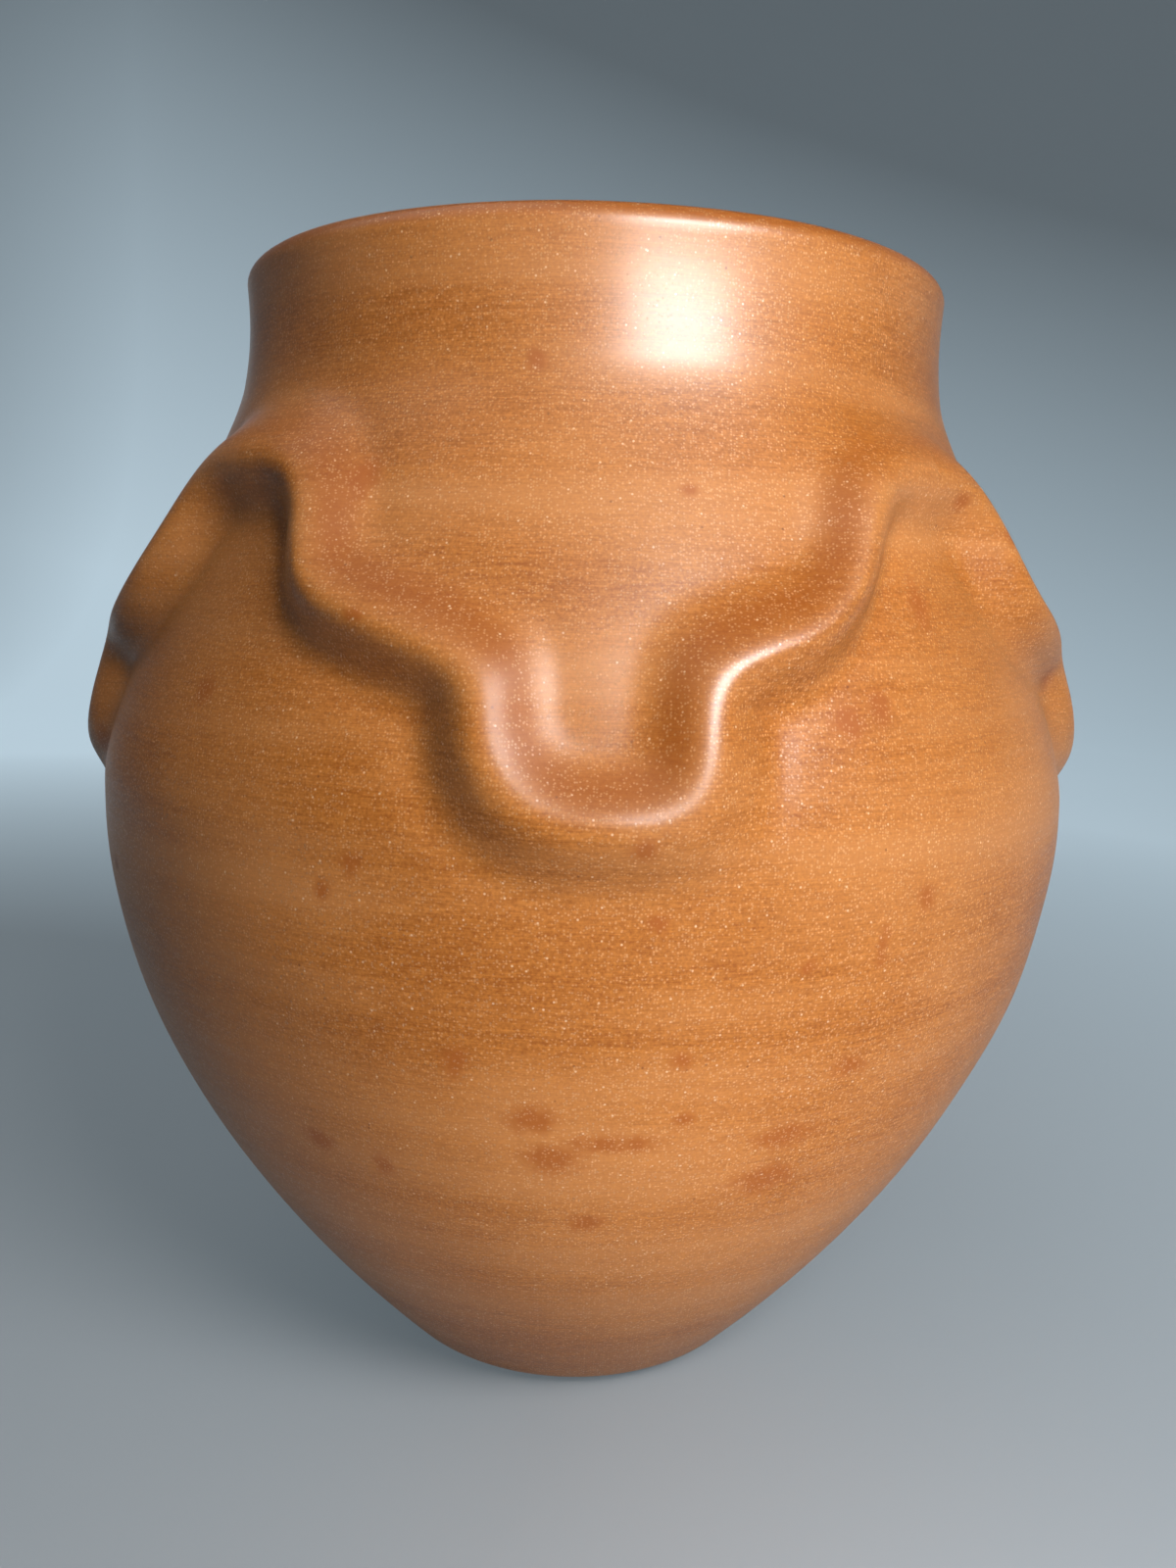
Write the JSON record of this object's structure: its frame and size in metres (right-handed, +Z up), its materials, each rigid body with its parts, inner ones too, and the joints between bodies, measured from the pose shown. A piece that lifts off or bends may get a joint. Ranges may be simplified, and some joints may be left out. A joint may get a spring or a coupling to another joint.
{
  "type": "coil-built pottery jar",
  "caption": "Round-bellied coil-built pottery jar with a wide upright neck, a narrow foot and stepped relief fields on its shoulder, in burnished tan-orange micaceous clay.",
  "frame": {"origin": "centre of the flat foot, on the surface that the jar stands on", "axes": "+Z up along the jar's axis of turning; the middle of one stepped field faces -Y"},
  "size_m": [0.188, 0.188, 0.2],
  "materials": {
    "burnished_clay": "stone-burnished micaceous earthenware, satin gloss with fine golden mica flecks"
  },
  "bodies": {
    "root": {"base_bowl": "burnished_clay", "wall_coil_1": "burnished_clay", "wall_coil_2": "burnished_clay", "wall_coil_3": "burnished_clay", "wall_coil_4": "burnished_clay", "wall_coil_5": "burnished_clay", "wall_coil_6": "burnished_clay", "shoulder_coil_1": "burnished_clay", "shoulder_coil_2": "burnished_clay", "shoulder_coil_3": "burnished_clay", "shoulder_coil_4": "burnished_clay", "shoulder_coil_5": "burnished_clay", "neck_coil": "burnished_clay", "rim_coil": "burnished_clay"}
  },
  "joints": []
}
